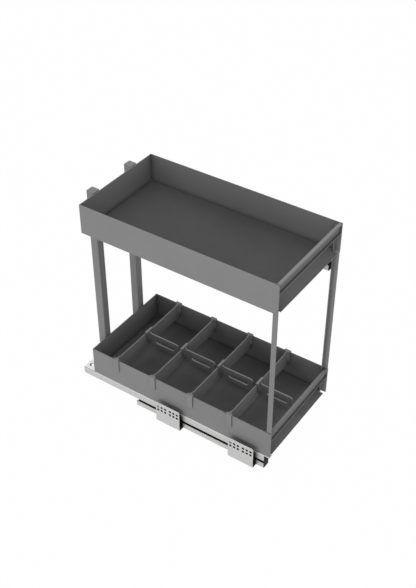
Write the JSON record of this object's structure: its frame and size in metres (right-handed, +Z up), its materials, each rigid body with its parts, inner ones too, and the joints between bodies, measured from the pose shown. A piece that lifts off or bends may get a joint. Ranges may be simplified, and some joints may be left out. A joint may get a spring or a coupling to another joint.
{
  "type": "two-tier pull-out organizer for a narrow kitchen cabinet",
  "caption": "Two-tier pull-out organizer for a narrow cabinet: stacked grey steel trays on side-mounted ball slides, with clip-on cross dividers and sliding slotted tongue dividers.",
  "frame": {"origin": "Centre of the twelve fixing holes in the lower front bracket, on the face that lies on the cabinet side.", "axes": "+X points out of the cabinet along the pull-out motion, +Y from the near cabinet side to the far one, +Z up."},
  "size_m": [0.5069, 0.2696, 0.5041],
  "materials": {
    "painted_steel": "satin",
    "zinc_steel": "satin",
    "bright_steel": "polished",
    "mat_rubber": "matte",
    "grey_plastic": "matte",
    "black_plastic": "matte"
  },
  "bodies": {
    "cabinet_side": {"lower_cabinet_rail": "zinc_steel", "lower_rear_bracket": "zinc_steel", "lower_front_bracket": "zinc_steel", "upper_cabinet_rail": "zinc_steel", "upper_rear_bracket": "zinc_steel", "upper_front_bracket": "zinc_steel", "bracket_rivets": "bright_steel"},
    "pull_out": {"upper_near_side": "painted_steel", "upper_far_side": "painted_steel", "upper_back": "painted_steel", "upper_floor": "painted_steel", "upper_mat": "mat_rubber", "upper_front_rail": "painted_steel", "lower_near_side": "painted_steel", "lower_far_side": "painted_steel", "lower_back": "painted_steel", "lower_floor": "painted_steel", "lower_mat": "mat_rubber", "lower_front_rail": "painted_steel", "near_front_post": "painted_steel", "far_front_post": "painted_steel", "near_rear_post": "painted_steel", "far_rear_post": "painted_steel", "rear_post_pads": "painted_steel", "rear_post_caps": "grey_plastic", "lower_drawer_rail": "zinc_steel", "lower_carrier_strip": "zinc_steel", "lower_end_cap": "black_plastic", "lower_slide_screws": "bright_steel", "upper_drawer_rail": "zinc_steel", "upper_carrier_strip": "zinc_steel", "upper_end_cap": "black_plastic", "upper_slide_screws": "bright_steel", "upper_spacer_bar": "zinc_steel"},
    "lower_middle": {"lower_middle_rail": "zinc_steel"},
    "lower_cabinet_cage_body": {"lower_cabinet_cage": "bright_steel", "lower_cabinet_balls": "bright_steel"},
    "lower_drawer_cage_body": {"lower_drawer_cage": "bright_steel", "lower_drawer_balls": "bright_steel"},
    "upper_middle": {"upper_middle_rail": "zinc_steel"},
    "upper_cabinet_cage_body": {"upper_cabinet_cage": "bright_steel", "upper_cabinet_balls": "bright_steel"},
    "upper_drawer_cage_body": {"upper_drawer_cage": "bright_steel", "upper_drawer_balls": "bright_steel"},
    "divider_1": {"cross_divider_1": "grey_plastic"},
    "tongue_1": {"tongue_divider_1": "grey_plastic"},
    "divider_2": {"cross_divider_2": "grey_plastic"},
    "tongue_2": {"tongue_divider_2": "grey_plastic"},
    "divider_3": {"cross_divider_3": "grey_plastic"},
    "tongue_3": {"tongue_divider_3": "grey_plastic"},
    "divider_4": {"cross_divider_4": "grey_plastic"},
    "tongue_4": {"tongue_divider_4": "grey_plastic"}
  },
  "joints": [
    {"name": "pull_out_slide", "type": "slide", "parent": "cabinet_side", "child": "pull_out", "axis": [1, 0, 0], "range_m": [0, 0.43]},
    {"name": "lower_middle_slide", "type": "slide", "parent": "cabinet_side", "child": "lower_middle", "axis": [1, 0, 0], "range_m": [0, 0.215]},
    {"name": "lower_cabinet_cage_roll", "type": "slide", "parent": "cabinet_side", "child": "lower_cabinet_cage_body", "axis": [1, 0, 0], "range_m": [0, 0.1075]},
    {"name": "lower_drawer_cage_roll", "type": "slide", "parent": "cabinet_side", "child": "lower_drawer_cage_body", "axis": [1, 0, 0], "range_m": [0, 0.3225]},
    {"name": "upper_middle_slide", "type": "slide", "parent": "cabinet_side", "child": "upper_middle", "axis": [1, 0, 0], "range_m": [0, 0.215]},
    {"name": "upper_cabinet_cage_roll", "type": "slide", "parent": "cabinet_side", "child": "upper_cabinet_cage_body", "axis": [1, 0, 0], "range_m": [0, 0.1075]},
    {"name": "upper_drawer_cage_roll", "type": "slide", "parent": "cabinet_side", "child": "upper_drawer_cage_body", "axis": [1, 0, 0], "range_m": [0, 0.3225]},
    {"name": "divider_1_shift", "type": "slide", "parent": "pull_out", "child": "divider_1", "axis": [1, 0, 0], "range_m": [-0.05, 0.005]},
    {"name": "tongue_1_shift", "type": "slide", "parent": "divider_1", "child": "tongue_1", "axis": [0, 1, 0], "range_m": [-0.085, 0.085]},
    {"name": "divider_2_shift", "type": "slide", "parent": "pull_out", "child": "divider_2", "axis": [1, 0, 0], "range_m": [-0.005, 0.005]},
    {"name": "tongue_2_shift", "type": "slide", "parent": "divider_2", "child": "tongue_2", "axis": [0, 1, 0], "range_m": [-0.085, 0.085]},
    {"name": "divider_3_shift", "type": "slide", "parent": "pull_out", "child": "divider_3", "axis": [1, 0, 0], "range_m": [-0.005, 0.005]},
    {"name": "tongue_3_shift", "type": "slide", "parent": "divider_3", "child": "tongue_3", "axis": [0, 1, 0], "range_m": [-0.085, 0.085]},
    {"name": "divider_4_shift", "type": "slide", "parent": "pull_out", "child": "divider_4", "axis": [1, 0, 0], "range_m": [-0.005, 0.01]},
    {"name": "tongue_4_shift", "type": "slide", "parent": "divider_4", "child": "tongue_4", "axis": [0, 1, 0], "range_m": [-0.085, 0.085]}
  ],
  "couplings": [
    {"joint": "lower_middle_slide", "follows": "pull_out_slide", "ratio": 0.5},
    {"joint": "lower_cabinet_cage_roll", "follows": "pull_out_slide", "ratio": 0.25},
    {"joint": "lower_drawer_cage_roll", "follows": "pull_out_slide", "ratio": 0.75},
    {"joint": "upper_middle_slide", "follows": "pull_out_slide", "ratio": 0.5},
    {"joint": "upper_cabinet_cage_roll", "follows": "pull_out_slide", "ratio": 0.25},
    {"joint": "upper_drawer_cage_roll", "follows": "pull_out_slide", "ratio": 0.75}
  ]
}
